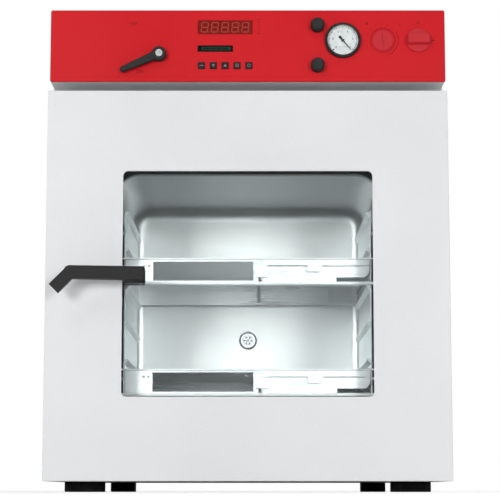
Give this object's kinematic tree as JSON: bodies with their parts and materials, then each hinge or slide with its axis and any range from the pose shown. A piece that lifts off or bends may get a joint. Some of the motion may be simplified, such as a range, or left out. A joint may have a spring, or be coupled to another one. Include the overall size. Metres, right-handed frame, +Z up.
{
  "type": "vacuum drying oven",
  "caption": "Bench vacuum drying oven: windowed door with latch handle, steel chamber with expansion racks, and a red control panel with gauge, valves and display.",
  "frame": {"origin": "under the middle of the bounding box, at the height the feet stand on", "axes": "+Z up, front with the door faces -Y, +X to the viewer's right; X is the longest horizontal extent"},
  "size_m": [0.634, 0.632, 0.764],
  "materials": {
    "body_paint": "light grey fine-textured powder coat",
    "red_paint": "signal red powder coat, semi-matt",
    "display_filter": "dark smoked filter plate, polished",
    "circuit_board": "solder-masked board",
    "tank_steel": "stainless steel, vertical brushed grain",
    "rack_steel": "bare aluminium sheet, fine brushed",
    "plated_steel": "bright plated steel",
    "spring_steel": "spring steel, bright",
    "clear_glass": "clear polished glass",
    "seal_rubber": "dark silicone rubber",
    "black_rubber": "black rubber, matt",
    "mineral_wool": "pressed mineral wool",
    "heater_foil": "silicone heating mat",
    "brass": "turned brass",
    "copper_pipe": "drawn copper",
    "steel_pipe": "stainless tube",
    "black_plastic": "black moulded plastic, fine grain",
    "white_plastic": "white, satin",
    "red_plastic": "red moulded plastic"
  },
  "bodies": {
    "cabinet": {"outer_casing": "body_paint", "rear_panel": "body_paint", "base_plate": "body_paint", "front_frame": "body_paint", "control_housing": "body_paint", "control_fascia": "red_paint", "display_window": "display_filter", "lcd_window": "display_filter", "controller_board": "circuit_board", "inner_chamber": "tank_steel", "door_seal": "seal_rubber", "rail_plates": "tank_steel", "port_baffle": "tank_steel", "insulation": "mineral_wool", "heater_mats": "heater_foil", "temperature_probe": "steel_pipe", "vacuum_valve": "brass", "needle_valves": "brass", "gauge_case": "black_plastic", "gauge_dial": "white_plastic", "gauge_lens": "clear_glass", "rotary_switches": "black_plastic", "vacuum_pipe": "steel_pipe", "gas_pipes": "copper_pipe", "vacuum_port": "plated_steel", "gas_nozzles": "plated_steel", "mains_gland": "black_plastic", "feet": "black_rubber", "hinge_arms": "plated_steel", "door_striker": "plated_steel"},
    "door": {"door_shell": "body_paint", "window_glass": "clear_glass", "window_surround": "tank_steel", "door_liner": "body_paint", "vacuum_glass": "clear_glass", "glass_clips": "plated_steel", "pane_springs": "spring_steel", "hinge_brackets": "plated_steel", "handle_bearing": "black_plastic"},
    "handle": {"door_handle": "black_plastic", "latch_arm": "plated_steel"},
    "vacuum_lever": {"valve_lever": "black_plastic", "lever_cap": "white_plastic"},
    "vent_valve_knob": {"vent_knob": "black_plastic"},
    "gas_valve_knob": {"gas_knob": "black_plastic"},
    "pointer": {"gauge_pointer": "black_plastic"},
    "thermostat": {"thermostat_dial": "red_plastic"},
    "main_switch": {"main_switch_knob": "red_plastic"},
    "button_1": {"key_1": "black_plastic"},
    "button_2": {"key_2": "black_plastic"},
    "button_3": {"key_3": "black_plastic"},
    "button_4": {"key_4": "black_plastic"},
    "button_5": {"key_5": "black_plastic"},
    "upper_rack": {"upper_rack_frame": "rack_steel"},
    "upper_rack_half": {"upper_rack_slide": "rack_steel"},
    "upper_rack_lever": {"upper_tension_lever": "rack_steel"},
    "lower_rack": {"lower_rack_frame": "rack_steel"},
    "lower_rack_half": {"lower_rack_slide": "rack_steel"},
    "lower_rack_lever": {"lower_tension_lever": "rack_steel"}
  },
  "joints": [
    {"name": "door_hinge", "type": "hinge", "parent": "cabinet", "child": "door", "pos_m": [0.3, -0.224, 0.3245], "axis": [0, 0, 1], "range_deg": [0, 110]},
    {"name": "handle_turn", "type": "hinge", "parent": "door", "child": "handle", "pos_m": [-0.178, -0.254, 0.334], "axis": [0, 1, 0], "range_deg": [0, 35]},
    {"name": "vacuum_lever_turn", "type": "hinge", "parent": "cabinet", "child": "vacuum_lever", "pos_m": [-0.14077, -0.254, 0.6903], "axis": [0, 1, 0], "range_deg": [0, 90]},
    {"name": "vent_knob_turn", "type": "hinge", "parent": "cabinet", "child": "vent_valve_knob", "pos_m": [0.11102, -0.254, 0.7375], "axis": [0, -1, 0], "range_deg": [0, 720]},
    {"name": "gas_knob_turn", "type": "hinge", "parent": "cabinet", "child": "gas_valve_knob", "pos_m": [0.11102, -0.254, 0.6722], "axis": [0, -1, 0], "range_deg": [0, 720]},
    {"name": "pointer_turn", "type": "hinge", "parent": "cabinet", "child": "pointer", "pos_m": [0.1514, -0.254, 0.7135], "axis": [0, -1, 0], "range_deg": [0, 280]},
    {"name": "thermostat_turn", "type": "hinge", "parent": "cabinet", "child": "thermostat", "pos_m": [0.21518, -0.254, 0.7143], "axis": [0, 1, 0], "range_deg": [0, 270]},
    {"name": "main_switch_turn", "type": "hinge", "parent": "cabinet", "child": "main_switch", "pos_m": [0.2716, -0.254, 0.7143], "axis": [0, 1, 0], "range_deg": [0, 90]},
    {"name": "key_1_press", "type": "slide", "parent": "cabinet", "child": "button_1", "axis": [0, 1, 0], "range_m": [0, 0.0008], "stiffness_N_per_m": 900, "springref_m": -0.0006},
    {"name": "key_2_press", "type": "slide", "parent": "cabinet", "child": "button_2", "axis": [0, 1, 0], "range_m": [0, 0.0008], "stiffness_N_per_m": 900, "springref_m": -0.0006},
    {"name": "key_3_press", "type": "slide", "parent": "cabinet", "child": "button_3", "axis": [0, 1, 0], "range_m": [0, 0.0008], "stiffness_N_per_m": 900, "springref_m": -0.0006},
    {"name": "key_4_press", "type": "slide", "parent": "cabinet", "child": "button_4", "axis": [0, 1, 0], "range_m": [0, 0.0008], "stiffness_N_per_m": 900, "springref_m": -0.0006},
    {"name": "key_5_press", "type": "slide", "parent": "cabinet", "child": "button_5", "axis": [0, 1, 0], "range_m": [0, 0.0008], "stiffness_N_per_m": 900, "springref_m": -0.0006},
    {"name": "upper_rack_run", "type": "slide", "parent": "cabinet", "child": "upper_rack", "axis": [0, -1, 0], "range_m": [0, 0.011]},
    {"name": "upper_rack_width", "type": "slide", "parent": "upper_rack", "child": "upper_rack_half", "axis": [-1, 0, 0], "range_m": [0, 0.004]},
    {"name": "upper_lever_turn", "type": "hinge", "parent": "upper_rack", "child": "upper_rack_lever", "pos_m": [0.028, -0.174, 0.3643], "axis": [0, -1, 0], "range_deg": [0, 90]},
    {"name": "lower_rack_run", "type": "slide", "parent": "cabinet", "child": "lower_rack", "axis": [0, -1, 0], "range_m": [0, 0.011]},
    {"name": "lower_rack_width", "type": "slide", "parent": "lower_rack", "child": "lower_rack_half", "axis": [-1, 0, 0], "range_m": [0, 0.004]},
    {"name": "lower_lever_turn", "type": "hinge", "parent": "lower_rack", "child": "lower_rack_lever", "pos_m": [0.028, -0.174, 0.1849], "axis": [0, -1, 0], "range_deg": [0, 90]}
  ],
  "couplings": [
    {"joint": "upper_lever_turn", "follows": "upper_rack_width", "rad_per_m": 392.6},
    {"joint": "lower_lever_turn", "follows": "lower_rack_width", "rad_per_m": 392.6}
  ]
}
